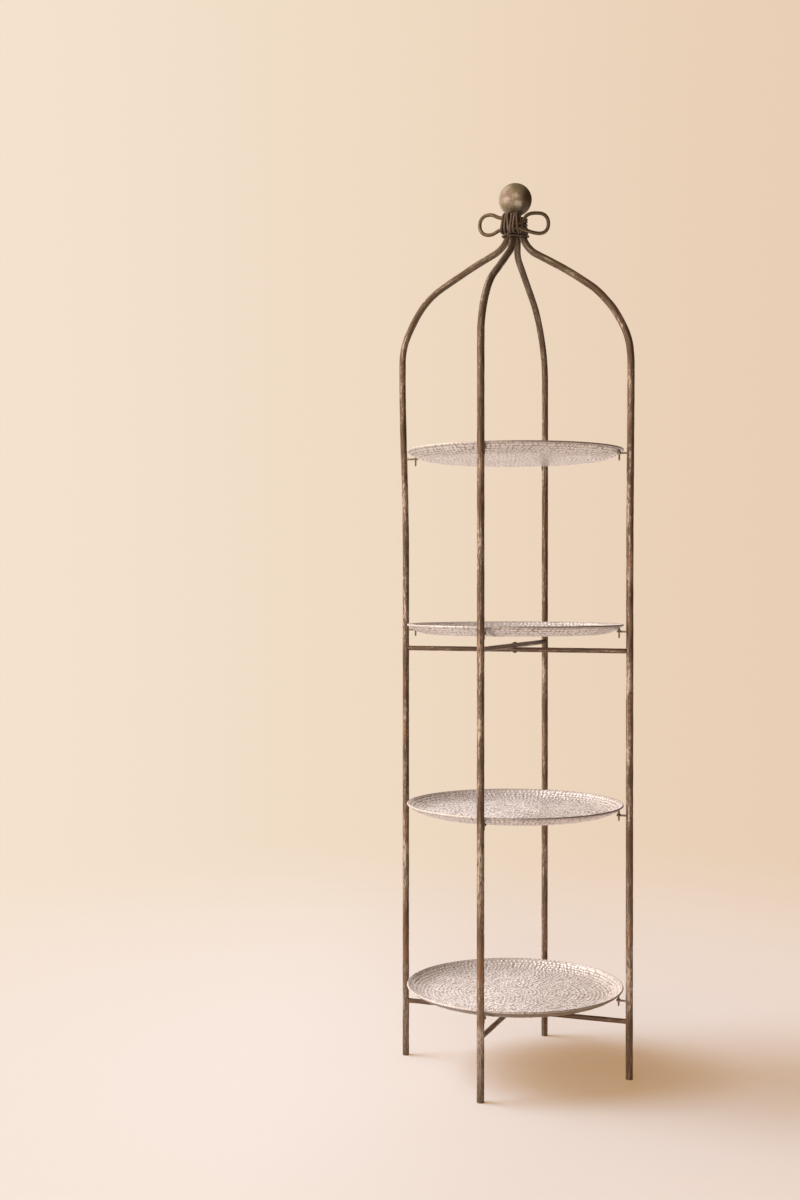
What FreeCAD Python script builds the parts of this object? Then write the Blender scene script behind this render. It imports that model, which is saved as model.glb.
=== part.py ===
"""Tall four-tier etagere: forged iron rods tied under a ball, with lift-off hammered trays.

Millimetres, +Z up, origin on the floor midway between the four feet.
The legs stand on the axes: right +X, back +Y, left -X, front -Y.
"""
import FreeCAD
import Part
import math
import os

V = FreeCAD.Vector
UP = V(0, 0, 1)

# Frame: four leg rods drawn in to a neck
LEG_ROD = 12.0          # rod diameter
LEG_CIRCLE = 192.0      # radius of the circle the legs stand on
SHOULDER_RISE = 175.0   # from the top tray's underside to where the rods start to lean in
DOME_BEND = 126.0       # radius of the outward bend of the dome
DOME_LEAN = 60.0        # degrees the rods lean from upright above that bend
NECK_BEND = 50.0        # radius of the bend that sets the rods upright again
NECK_LENGTH = 18.5      # upright run of the rods inside the neck
ROD_EASE = 1.5          # bevel at both ends of a rod
LEG_TURNS = {"right": 0.0, "back": 90.0, "left": 180.0, "front": 270.0}

# Finial: a ball on a post that stands between the four rods
POST_ROD = 11.0
POST_TAIL = 6.0         # post below the upright run of the rods
BALL = 55.0             # ball diameter
BALL_LIFT = 2.5         # ball above the ends of the rods
SOCKET_DEPTH = 14.0     # post inside the ball
SOCKET_FIT = 0.1        # clearance round the post

# Cross braces: two rods lapped and riveted, at the middle and near the floor
BRACE_ROD = 8.0
BRACE_TRAYS = {"middle": "upper", "base": "bottom"}   # the tray each brace lies under
BRACE_DROPS = {"middle": 26.0, "base": 29.0}   # lower rod's axis below the underside of that tray
LAP_FLAT = 0.6          # taken off the rods above and below the rivet
LAP_LENGTH = 14.0
RIVET = 4.0             # shank diameter
RIVET_FIT = 0.05
RIVET_HEAD = 9.0
RIVET_DOME = 2.6        # height of a rivet head

# Trays: shallow dishes with a curved wall
TIERS = {"bottom": 122.0, "lower": 422.0, "upper": 718.0, "top": 1005.0}   # underside of each tray
TRAY_PLAY = 7.5         # between a tray's lip and the legs
TRAY_SHEET = 2.5
TRAY_WALL = 62.0        # radius of the wall's curve, outside
TRAY_TURN = 40.0        # degrees the wall turns up

# Tray holders: an eye on each leg takes a pin under the lip
PIN = 4.0               # pin diameter
PIN_INSET = 4.0         # pin axis inside the lip
PIN_REACH = 10.0        # pin below the tray's underside
PIN_TAPER = 3.0
PIN_TIP = 2.2           # diameter of the pin's end
COLLAR_REST = 1.0       # width of the shoulder's rest on the eye
COLLAR_DEPTH = 1.5
EYE_PLAY = 0.5          # between pin and eye, all round
EYE_RIM = 2.7           # metal round the hole
EYE_STOCK = 4.0         # thickness of the eye, and width of its tongue

# Neck wire: a close binding and, in front of it, a bow with its own knot
BIND_WIRE = 3.2
BIND_SPACE = 1.4        # clear space between turns of the binding
BIND_TURNS = 7
BIND_TOP = 1.0          # binding below the ends of the rods
WIRE_SEAT = 0.05        # between wire and what it is wound on
BOW_WIRE = 6.0
BOW_LOOP = 16.5         # radius of a loop
BOW_SPREAD = {"left": 19.0, "right": 7.2}   # between a loop's two strands inside the knot
BOW_REACH = {"left": 22.0, "right": 42.0}   # from the knot to the centre of a loop
BOW_SWEEP = {"left": -10.0, "right": 38.0}  # degrees a loop turns back
BOW_RISE = {"left": -0.5, "right": 0.5}     # loop centre against the knot's centre
BOW_STEEP = {"left": 0.0, "right": 62.0}    # degrees the upper strand climbs at its steepest
BOW_HEEL = 0.4          # where on its way out the upper strand is steepest
KNOT_WIRE = 4.2
KNOT_SPACE = 0.8        # clear space between turns of the knot
KNOT_TURNS = 4
KNOT_SLACK = 0.1        # between the knot and the strands in it
KNOT_SETTLE = 0.08      # how far the knot drops in between turns of the binding
KNOT_DROP = 14.0        # knot centre below the ends of the rods
BOW_TURN = -8.0         # degrees the whole bow sits round from the front leg

# Measuring
ROUNDING = 1e-6
GAP_SAMPLES = 9         # points taken on each edge when a winding's gap is measured
GAP_STRETCH = 4.0       # wire diameters along a winding that count as one place

LEAN = math.radians(DOME_LEAN)
SHOULDER_Z = TIERS["top"] + SHOULDER_RISE
NECK_CIRCLE = (POST_ROD + LEG_ROD) / 2
TRAY_RADIUS = LEG_CIRCLE - LEG_ROD / 2 - TRAY_PLAY
TURN_UP = math.radians(TRAY_TURN)
FLOOR_RADIUS = TRAY_RADIUS - TRAY_WALL * math.sin(TURN_UP)
PIN_CIRCLE = TRAY_RADIUS - PIN_INSET
EYE_HOLE = PIN + 2 * EYE_PLAY
COLLAR = EYE_HOLE + 2 * COLLAR_REST
LAP = BRACE_ROD - 2 * LAP_FLAT

# Corners of the leg's centre line, as (radius, height)
DOME_END = (LEG_CIRCLE - DOME_BEND * (1 - math.cos(LEAN)), SHOULDER_Z + DOME_BEND * math.sin(LEAN))
NECK_START_R = NECK_CIRCLE + NECK_BEND * (1 - math.cos(LEAN))
NECK_START = (NECK_START_R, DOME_END[1] + (DOME_END[0] - NECK_START_R) / math.tan(LEAN))
NECK_Z = NECK_START[1] + NECK_BEND * math.sin(LEAN)
ROD_TOP = NECK_Z + NECK_LENGTH
BALL_Z = ROD_TOP + BALL_LIFT + BALL / 2
SOCKET_TOP = ROD_TOP + BALL_LIFT + SOCKET_DEPTH

# Neck wire, from the rods outward
BIND_PITCH = BIND_WIRE + BIND_SPACE
BIND_LOW = ROD_TOP - BIND_TOP - BIND_WIRE / 2 - BIND_TURNS * BIND_PITCH
KNOT_PITCH = KNOT_WIRE + KNOT_SPACE
KNOT_WIDTH = KNOT_TURNS * KNOT_PITCH
KNOT_ROUND = (BOW_WIRE + KNOT_WIRE) / 2 + KNOT_SLACK
KNOT_Z = ROD_TOP - KNOT_DROP
KNOT_HALF = max(BOW_SPREAD.values()) / 2
KNOT_BACK = KNOT_ROUND + KNOT_WIRE / 2


def save(name, solids):
    """Write one node, made of one solid or of a group of equal solids."""
    shape = solids[0] if len(solids) == 1 else Part.makeCompound(solids)
    shape.exportStep(os.path.join("parts", name + ".step"))


def turned(shape, degrees):
    """A copy turned about the vertical axis of the object."""
    copy = shape.copy()
    copy.rotate(V(0, 0, 0), UP, degrees)
    return copy


def raised(shape, height):
    copy = shape.copy()
    copy.translate(V(0, 0, height))
    return copy


def line(start, end):
    return Part.LineSegment(start, end).toShape()


def arc(start, middle, end):
    return Part.Arc(start, middle, end).toShape()


def corner_arc(start, corner, end):
    """The arc that leaves start and reaches end along the two equal sides of a corner."""
    centre = (start + end) * 0.5
    half_chord = (end - start).Length / 2
    bulge = corner - centre
    if bulge.Length < ROUNDING * half_chord:
        return line(start, end)
    half_turn = math.atan2(bulge.Length, half_chord)
    middle = centre + bulge.normalize() * (half_chord * math.tan(half_turn / 2))
    return arc(start, middle, end)


def biarc(start, way_in, end, way_out):
    """Two arcs that run smoothly from one point and direction to another."""
    span = end - start
    along = span.dot(way_in + way_out)
    bend = 2 * (1 - way_in.dot(way_out))
    if bend < ROUNDING:
        side = span.dot(span) / (2 * along)
    else:
        side = (math.sqrt(along * along + bend * span.dot(span)) - along) / bend
    first = start + way_in * side
    second = end - way_out * side
    middle = (first + second) * 0.5
    return [corner_arc(start, first, middle), corner_arc(middle, second, end)]


def tube(edges, diameter):
    """A round rod swept along joined edges, square at both ends."""
    start = edges[0].valueAt(edges[0].FirstParameter)
    heading = edges[0].tangentAt(edges[0].FirstParameter)
    section = Part.Wire(Part.Circle(start, heading, diameter / 2).toShape())
    return Part.Wire(edges).makePipeShell([section], True, False)


def eased(solid, heights, ease):
    """Bevel the level end edges of a rod at the given heights."""
    ends = []
    for edge in solid.Edges:
        box = edge.BoundBox
        level = box.ZLength < ROUNDING
        if level and min(abs(box.ZMin - height) for height in heights) < ROUNDING:
            ends.append(edge)
    return solid.makeChamfer(ease, ends)


def revolved(profile):
    """A solid turned from a closed (radius, height) outline of edges."""
    face = Part.Face(Part.Wire(profile))
    return face.revolve(V(0, 0, 0), UP, 360)


def outline(points):
    """Straight edges through (radius, height) points, closed."""
    corners = [V(r, 0, z) for r, z in points]
    return [line(a, b) for a, b in zip(corners, corners[1:] + corners[:1])]


def make_leg():
    """One rod along +X: upright, out round the dome, in to the neck and upright again."""
    def at(point):
        return V(point[0], 0, point[1])

    dome_middle = (LEG_CIRCLE - DOME_BEND * (1 - math.cos(LEAN / 2)),
                   SHOULDER_Z + DOME_BEND * math.sin(LEAN / 2))
    neck_middle = (NECK_CIRCLE + NECK_BEND * (1 - math.cos(LEAN / 2)),
                   NECK_Z - NECK_BEND * math.sin(LEAN / 2))
    shoulder = (LEG_CIRCLE, SHOULDER_Z)
    neck_end = (NECK_CIRCLE, NECK_Z)
    path = [
        line(at((LEG_CIRCLE, 0)), at(shoulder)),
        arc(at(shoulder), at(dome_middle), at(DOME_END)),
        line(at(DOME_END), at(NECK_START)),
        arc(at(NECK_START), at(neck_middle), at(neck_end)),
        line(at(neck_end), at((NECK_CIRCLE, ROD_TOP))),
    ]
    return eased(tube(path, LEG_ROD), (0, ROD_TOP), ROD_EASE)


def make_post():
    bottom = NECK_Z - POST_TAIL
    post = Part.makeCylinder(POST_ROD / 2, SOCKET_TOP - bottom, V(0, 0, bottom))
    return eased(post, (bottom, SOCKET_TOP), ROD_EASE)


def make_ball():
    ball = Part.makeSphere(BALL / 2, V(0, 0, BALL_Z))
    socket = Part.makeCylinder(POST_ROD / 2 + SOCKET_FIT, SOCKET_TOP - ROD_TOP, V(0, 0, ROD_TOP))
    return ball.cut(socket)


def make_brace(height, degrees, legs):
    """A rod between two opposite legs, shaped to them, flattened and drilled at the crossing."""
    rod = Part.makeCylinder(BRACE_ROD / 2, 2 * LEG_CIRCLE, V(-LEG_CIRCLE, 0, height), V(1, 0, 0))
    flat_top = BRACE_ROD / 2 - LAP_FLAT
    for base in (height + flat_top, height - flat_top - BRACE_ROD):
        corner = V(-LAP_LENGTH / 2, -BRACE_ROD, base)
        rod = rod.cut(Part.makeBox(LAP_LENGTH, 2 * BRACE_ROD, BRACE_ROD, corner))
    hole = Part.makeCylinder(RIVET / 2 + RIVET_FIT, 2 * BRACE_ROD, V(0, 0, height - BRACE_ROD))
    return turned(rod.cut(hole), degrees).cut(legs)


def make_rivet(low, high):
    """A shank between two domed heads; low and high are the faces the heads close on."""
    shank = RIVET / 2
    head = RIVET_HEAD / 2
    dome = (head ** 2 + RIVET_DOME ** 2) / (2 * RIVET_DOME)
    half_turn = math.asin(head / dome) / 2
    swell = V(dome * math.sin(half_turn), 0, RIVET_DOME - dome * (1 - math.cos(half_turn)))
    bottom = V(0, 0, low - RIVET_DOME)
    top = V(0, 0, high + RIVET_DOME)
    profile = [
        arc(bottom, V(swell.x, 0, low - swell.z), V(head, 0, low)),
        line(V(head, 0, low), V(shank, 0, low)),
        line(V(shank, 0, low), V(shank, 0, high)),
        line(V(shank, 0, high), V(head, 0, high)),
        arc(V(head, 0, high), V(swell.x, 0, high + swell.z), top),
        line(top, bottom),
    ]
    return revolved(profile)


def wall_point(radius, turn):
    """A point on the tray wall's curve, by the curve's radius and the angle turned up."""
    return V(FLOOR_RADIUS + radius * math.sin(turn), 0, TRAY_WALL - radius * math.cos(turn))


def make_tray():
    """A flat floor and a wall on one arc, cut square at the lip, turned about the axis."""
    outside = TRAY_WALL
    inside = TRAY_WALL - TRAY_SHEET
    profile = [
        line(V(0, 0, 0), wall_point(outside, 0)),
        arc(wall_point(outside, 0), wall_point(outside, TURN_UP / 2), wall_point(outside, TURN_UP)),
        line(wall_point(outside, TURN_UP), wall_point(inside, TURN_UP)),
        arc(wall_point(inside, TURN_UP), wall_point(inside, TURN_UP / 2), wall_point(inside, 0)),
        line(wall_point(inside, 0), V(0, 0, TRAY_SHEET)),
        line(V(0, 0, TRAY_SHEET), V(0, 0, 0)),
    ]
    return revolved(profile)


def make_pin():
    """A tapered pin with a shoulder, cut off at its top to lie against the wall it is fixed under."""
    slope = math.asin((PIN_CIRCLE - FLOOR_RADIUS) / TRAY_WALL)
    seat = wall_point(TRAY_WALL, slope)
    top = seat.z + COLLAR
    pin = revolved(outline([
        (0, -PIN_REACH),
        (PIN_TIP / 2, -PIN_REACH),
        (PIN / 2, PIN_TAPER - PIN_REACH),
        (PIN / 2, EYE_STOCK),
        (COLLAR / 2, EYE_STOCK),
        (COLLAR / 2, EYE_STOCK + COLLAR_DEPTH),
        (PIN / 2, EYE_STOCK + COLLAR_DEPTH),
        (PIN / 2, top),
        (0, top),
    ]))
    pin.translate(V(PIN_CIRCLE, 0, 0))
    waste = Part.makeBox(2 * top, 2 * top, top, V(-top, -top, 0))
    waste.rotate(V(0, 0, 0), V(0, 1, 0), -math.degrees(slope))
    waste.translate(seat)
    return pin.cut(waste)


def make_eye():
    """A flat ring on a short tongue that is shaped to the leg it is fixed to."""
    centre = V(PIN_CIRCLE, 0, 0)
    ring = Part.makeCylinder(EYE_HOLE / 2 + EYE_RIM, EYE_STOCK, centre)
    corner = centre - V(0, EYE_STOCK / 2, 0)
    tongue = Part.makeBox(LEG_CIRCLE - PIN_CIRCLE, EYE_STOCK, EYE_STOCK, corner)
    drill = Part.makeCylinder(EYE_HOLE / 2, EYE_STOCK, centre)
    rod = Part.makeCylinder(LEG_ROD / 2, EYE_STOCK, V(LEG_CIRCLE, 0, 0))
    return ring.fuse(tongue).cut([rod, drill]).removeSplitter()


def binding_radius(height):
    """Radius of the binding's centre line where its wire lies on the rods, flared below the neck."""
    drop = max(NECK_Z - (height - BIND_WIRE / 2), 0)
    turn = math.asin(drop / NECK_BEND)
    rods = NECK_CIRCLE + NECK_BEND * (1 - math.cos(turn)) + LEG_ROD / 2 / math.cos(turn)
    return rods + WIRE_SEAT + BIND_WIRE / 2


def binding_path():
    """A rising wrap round the four rods, in half turns, with a straight tail at each end."""
    def at(half_turns):
        """Point and heading after a number of half turns from the back of the neck."""
        height = BIND_LOW + BIND_PITCH * half_turns / 2
        radius = binding_radius(height)
        slope = math.atan2(BIND_PITCH, 2 * math.pi * radius)
        turn = math.pi * (half_turns + 0.5)
        outward = V(math.cos(turn), math.sin(turn), 0)
        place = outward * radius + UP * height
        return place, UP.cross(outward) * math.cos(slope) + UP * math.sin(slope)

    start, way = at(0)
    edges = [line(start - way * BIND_WIRE, start)]
    for half_turn in range(2 * BIND_TURNS):
        edges += biarc(*at(half_turn), *at(half_turn + 1))
    end, way = at(2 * BIND_TURNS)
    edges.append(line(end, end + way * BIND_WIRE))
    return edges


def knot_stand(lean):
    """How far out the knot stands to rest on the binding at one place round its lower bend."""
    place = KNOT_Z - KNOT_HALF - KNOT_BACK * math.sin(lean)
    return binding_radius(place) + KNOT_BACK * math.cos(lean)


# The knot rests on the flare of the binding
KNOT_Y = -(max(knot_stand(math.radians(lean)) for lean in range(91)) + BIND_WIRE / 2 - KNOT_SETTLE)


def knot_path():
    """Upright runs before and behind the bow's strands, joined by leaning half turns."""
    def at(place, depth, height):
        return V(place, KNOT_Y + depth * KNOT_ROUND, KNOT_Z + height)

    place = -KNOT_WIDTH / 2
    edges = [line(at(place, 1, KNOT_WIRE - KNOT_HALF), at(place, 1, -KNOT_HALF))]
    for turn in range(KNOT_TURNS):
        front = place + KNOT_PITCH / 2
        edges += biarc(at(place, 1, -KNOT_HALF), -UP, at(front, -1, -KNOT_HALF), UP)
        edges.append(line(at(front, -1, -KNOT_HALF), at(front, -1, KNOT_HALF)))
        place += KNOT_PITCH
        edges += biarc(at(front, -1, KNOT_HALF), UP, at(place, 1, KNOT_HALF), -UP)
        last = turn == KNOT_TURNS - 1
        end = KNOT_HALF - KNOT_WIRE if last else -KNOT_HALF
        edges.append(line(at(place, 1, KNOT_HALF), at(place, 1, end)))
    return edges


def bow_path(name, side):
    """One loop of the bow: out of the knot along the upper strand and back along the lower one."""
    out = V(side, 0, 0)
    sweep = math.radians(BOW_SWEEP[name])
    steep = math.radians(BOW_STEEP[name])
    swept = V(side * math.cos(sweep), math.sin(sweep), 0)
    heart = V(0, KNOT_Y, KNOT_Z)
    mouth = heart + out * ((KNOT_WIDTH + KNOT_WIRE) / 2)
    lower = UP * -KNOT_HALF
    upper = lower + UP * BOW_SPREAD[name]
    eye = mouth + swept * BOW_REACH[name] + UP * BOW_RISE[name]
    crown = eye + UP * BOW_LOOP
    tip = eye + swept * BOW_LOOP
    foot = eye - UP * BOW_LOOP
    edges = [line(heart + upper, mouth + upper)]
    if steep:
        heel = mouth + upper + (crown - mouth - upper) * BOW_HEEL
        climb = swept * math.cos(steep) + UP * math.sin(steep)
        edges += biarc(mouth + upper, out, heel, climb)
        edges += biarc(heel, climb, crown, swept)
    else:
        edges += biarc(mouth + upper, out, crown, swept)
    edges.append(arc(crown, tip, foot))
    edges += biarc(foot, -swept, mouth + lower, -out)
    edges.append(line(mouth + lower, heart + lower))
    return edges


def least_gap(edges, diameter):
    """Smallest clear distance between runs of one winding, measured on points along it."""
    points = []
    run = 0.0
    for edge in edges:
        for place in edge.discretize(Number=GAP_SAMPLES)[:-1]:
            if points:
                run += (place - points[-1][1]).Length
            points.append((run, place))
    nearest = min((b - a).Length
                  for index, (here, a) in enumerate(points)
                  for there, b in points[index + 1:]
                  if there - here > GAP_STRETCH * diameter)
    return nearest - diameter


os.makedirs("parts", exist_ok=True)

leg = make_leg()
legs = {name: turned(leg, degrees) for name, degrees in LEG_TURNS.items()}
for name, solid in legs.items():
    save("leg_" + name, [solid])

save("finial_post", [make_post()])
save("finial_ball", [make_ball()])

for level, tier in BRACE_TRAYS.items():
    height = TIERS[tier] - BRACE_DROPS[level]
    above = height + LAP
    save(level + "_brace_across", [make_brace(height, LEG_TURNS["right"], [legs["right"], legs["left"]])])
    save(level + "_brace_through", [make_brace(above, LEG_TURNS["back"], [legs["back"], legs["front"]])])
    save(level + "_brace_rivet", [make_rivet(height - LAP / 2, above + LAP / 2)])

tray = make_tray()
pin = make_pin()
eye = make_eye()
for tier, height in TIERS.items():
    save("tray_" + tier, [raised(tray, height)])
    save("tray_pins_" + tier, [turned(raised(pin, height), degrees) for degrees in LEG_TURNS.values()])
    for name, degrees in LEG_TURNS.items():
        save("eye_" + tier + "_" + name, [turned(raised(eye, height), degrees)])

binding = binding_path()
knot = knot_path()
save("neck_binding", [tube(binding, BIND_WIRE)])
save("bow_knot", [turned(tube(knot, KNOT_WIRE), BOW_TURN)])
for name, side in (("left", -1), ("right", 1)):
    save("bow_loop_" + name, [turned(tube(bow_path(name, side), BOW_WIRE), BOW_TURN)])

print("least gap in the neck binding", round(least_gap(binding, BIND_WIRE), 2))
print("least gap in the bow knot", round(least_gap(knot, KNOT_WIRE), 2))
print("overall height", round(BALL_Z + BALL / 2, 1), "tray diameter", round(2 * TRAY_RADIUS, 1))
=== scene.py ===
"""Tall four-tier etagere: forged iron rods, hammered trays, a wire bow and a ball.

Metres, +Z up, origin on the floor between the feet; the legs stand on the axes, front at -Y.
"""
import math

import bmesh
import bpy
import numpy as np
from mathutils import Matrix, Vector, noise


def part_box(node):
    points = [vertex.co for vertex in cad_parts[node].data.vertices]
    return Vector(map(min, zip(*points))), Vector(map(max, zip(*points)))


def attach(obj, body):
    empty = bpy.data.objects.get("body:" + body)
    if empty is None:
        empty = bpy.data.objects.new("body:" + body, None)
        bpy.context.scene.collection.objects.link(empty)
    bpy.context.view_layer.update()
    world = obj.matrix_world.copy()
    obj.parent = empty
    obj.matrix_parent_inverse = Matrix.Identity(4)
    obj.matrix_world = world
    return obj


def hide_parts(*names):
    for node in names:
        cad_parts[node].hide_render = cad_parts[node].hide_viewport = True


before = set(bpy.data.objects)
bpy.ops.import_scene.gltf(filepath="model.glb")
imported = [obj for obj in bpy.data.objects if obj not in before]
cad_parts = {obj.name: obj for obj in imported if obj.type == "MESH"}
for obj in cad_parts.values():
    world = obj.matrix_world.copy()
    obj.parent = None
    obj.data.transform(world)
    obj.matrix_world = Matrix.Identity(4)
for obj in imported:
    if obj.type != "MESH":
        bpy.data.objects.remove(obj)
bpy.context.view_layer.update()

MM = 0.001
TURN = 2 * math.pi
UP = Vector((0, 0, 1))
VIEW_RIGHT = Vector((0.939, 0.344, 0.0))
VIEW_AWAY = Vector((-0.344, 0.939, 0.0))

# Legs: degrees round from the right, and the share of the rod's girth that forging leaves
LEGS = {"right": 0.0, "back": 90.0, "left": 180.0, "front": 270.0}
LEG_GIRTH = {"right": 0.98, "back": 0.91, "left": 0.91, "front": 0.97}
LEG_ROD = 12 * MM
LEG_CIRCLE = 192 * MM
SHOULDER_Z = 1180 * MM
DOME_BEND = 126 * MM
LEAN = math.radians(60)
NECK_BEND = 50 * MM
NECK_CIRCLE = 11.5 * MM
ROD_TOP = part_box("leg_front")[1].z
DOME_END = (LEG_CIRCLE - DOME_BEND * (1 - math.cos(LEAN)), SHOULDER_Z + DOME_BEND * math.sin(LEAN))
NECK_START = NECK_CIRCLE + NECK_BEND * (1 - math.cos(LEAN))
NECK_Z = DOME_END[1] + (DOME_END[0] - NECK_START) / math.tan(LEAN) + NECK_BEND * math.sin(LEAN)
BEND_STEPS = 60
# Bent by hand: how far out, how far aside, and the heights it starts, is full, wanes and ends at
HAND_BENDS = {
    "right": ((1.5 * MM, 0.0, 0.85, 1.15, 1.18, 1.29),
              (-8.0 * MM, 0.0, 1.155, 1.245, 1.26, 1.32)),
    "back": ((-1.0 * MM, 4.5 * MM, 1.15, 1.28, 1.34, 1.372),),
    "left": ((6.0 * MM, 0.0, 0.85, 1.15, 1.17, 1.26),
             (5.5 * MM, 0.0, 1.225, 1.305, 1.32, 1.375)),
    "front": ((-0.5 * MM, 1.2 * MM, 1.19, 1.28, 1.31, 1.37),),
}

# Braces
BRACE_ROD = 8 * MM
LAP_FLAT = 0.6 * MM
LAP_LENGTH = 14 * MM

# Forging: sides of a rod's section, depth and length of its dents, spacing of points along it
ROD_EASE = 1.5 * MM
END_LOSS = 0.28         # share of its girth that a rod loses at its very end
DENT_ROUND = 1.6        # dents across a rod's width
LEG_FORGING = {"Sides": 24, "Dent": 0.4 * MM, "Dent_Length": 26 * MM}
BRACE_FORGING = {"Sides": 20, "Dent": 0.25 * MM, "Dent_Length": 20 * MM}
WIRE_FORGING = {"Sides": 16, "Dent": 0.16 * MM, "Dent_Length": 9 * MM}
LEG_STEP = 3 * MM
BRACE_STEP = 2 * MM
WIRE_STEP = 1 * MM

# Trays: a flat floor and a curved wall, hammered in rings
TIERS = ("bottom", "lower", "upper", "top")
TRAY_SHEET = 2.5 * MM
TRAY_WALL = 62 * MM
TRAY_TURN = math.radians(40)
TRAY_REACH = 178.5 * MM
TRAY_FLOOR = TRAY_REACH - TRAY_WALL * math.sin(TRAY_TURN)
TRAY_RUN = TRAY_FLOOR + TRAY_WALL * TRAY_TURN
TRAY_RINGS = 105
MARK = 6.5 * MM
WALL_MARK = 6.4 * MM
MARK_DEPTH = 0.6 * MM
MARK_ROUND = 0.56       # radius of a hollow, as a share of its mark
MARK_STRAY = 0.36       # share of its mark over which a blow's middle is spread
MARKS_ADDED = 6.0       # marks that each ring of the floor has more than the last
WALL_MARKS = 6.9        # marks round the wall, for each wall mark in the floor's radius
UNDER_DEPTH = 0.75      # depth of the marks underneath, against those above
PLAIN_EDGE = (6 * MM, 1 * MM)   # marks fade out between these distances from the edge
LIP_STEPS = 7
LIP_SWELL = 0.4
LIP_REACH = 0.75
LIP_SEAM = 0.02 * MM    # points of lip and faces nearer than this become one

# Tray holders: a pin under the lip rests in an eye, which starts at a lift above the underside
PIN_CIRCLE = 174.5 * MM
PIN = 3 * MM
PIN_REACH = 5.5 * MM
PIN_TAPER = 3 * MM
PIN_TIP = 1.8 * MM
PIN_EASE = 0.3 * MM
COLLAR = 5.6 * MM
COLLAR_DEPTH = 1.5 * MM
EYE_HOLE = 3.8 * MM
EYE_RIM = 2 * MM
EYE_STOCK = 3 * MM
EYE_EASE = 0.7 * MM
EYE_LIFTS = {"bottom": 2.5 * MM, "lower": 2.5 * MM, "upper": 3.8 * MM, "top": 5 * MM}
TONGUE_FOOT = 1.35      # width of a tongue at the leg, against the rest of it
LATHE_STEPS = 24
LATHE_SEAM = 0.01 * MM
SHARP = math.radians(35)

# Ball: dents by how close they lie and how deep they are
BALL = 55 * MM
BALL_SKIN = 0.2 * MM
BALL_DIVISIONS = 6
BALL_DENTS = ((90, 0.16 * MM), (260, 0.07 * MM))

# Neck wire: a close binding, and a bow tied with a knot of its own
BIND_WIRE = 3.8 * MM
BIND_PITCH = 4.6 * MM
BIND_TURNS = 7
BIND_START = 0.45       # turns from the back of the neck
BIND_TOP = 2.6 * MM
BIND_STEPS = 64
BIND_WAVE = 0.25 * MM
BIND_WAVES = 2.3        # in a turn
BOW_WIRE = 6 * MM
BOW_LOOP = 16.5 * MM
BOW_STEPS = 40
BOW_SQUARE = (0.85, 0.92)   # how full a loop is, across and upright
BOW_SPREAD = {"left": 19 * MM, "right": 7.2 * MM}
BOW_REACH = {"left": 22 * MM, "right": 42 * MM}
BOW_SWEEP = {"left": math.radians(-10), "right": math.radians(38)}
BOW_RISE = {"left": -0.5 * MM, "right": 0.5 * MM}
BOW_STEEP = math.radians(62)    # the right loop's upper strand where it climbs most
BOW_HEEL = 0.4          # where on its way out that is
BOW_PULL = (0.5, 0.8)   # how roundly it runs up to there, and on into the loop
BOW_TURN = -8
JOIN_STEPS = 24
KNOT_WIRE = 4.7 * MM
KNOT_PITCH = 5 * MM
KNOT_TURNS = 6
KNOT_STEPS = 60
KNOT_TAIL = 8           # steps past the last turn
KNOT_LEFT = -10 * MM
KNOT_ROUND = 5.2 * MM
KNOT_HALF = BOW_SPREAD["left"] / 2
KNOT_DROP = 14 * MM
KNOT_Z = ROD_TOP - KNOT_DROP
KNOT_Y = -28.7 * MM
KNOT_LEAN = 1.1 * MM
KNOT_LEANS = (2.1, 0.8)     # radians from one turn's lean to the next, and at the first
KNOT_BACK = 0.45        # how steeply the last turns bend back
KNOT_SWELL = 0.10
KNOT_SWELLS = 1.7       # in a turn

# Seeds: the first one of each kind and the step to the next
SEEDS = {"leg": (3.0, 7.0), "tray": (11.0, 20.0), "brace": (31.0, 5.0), "wire": (61.0, 4.0)}

# Camera and light
CAMERA_LENS = 46.84
CAMERA_PLACE = (0.7109, -2.4910, 0.7948)
CAMERA_AIM = Vector((-0.3443, 0.9388, -0.0081))
SUN_FROM = -0.80 * VIEW_RIGHT + 0.10 * VIEW_AWAY + 0.85 * UP
SUN_POWER = 2.7
SUN_SPREAD = math.radians(36)
SUN_COLOUR = (0.70, 0.83, 0.98)
GLINT_FROM = (-0.58 * VIEW_RIGHT + 0.36 * VIEW_AWAY + 0.73 * UP).normalized()
FLOOR_REACH = 8.0
FLOOR_SIDES = 96


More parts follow.
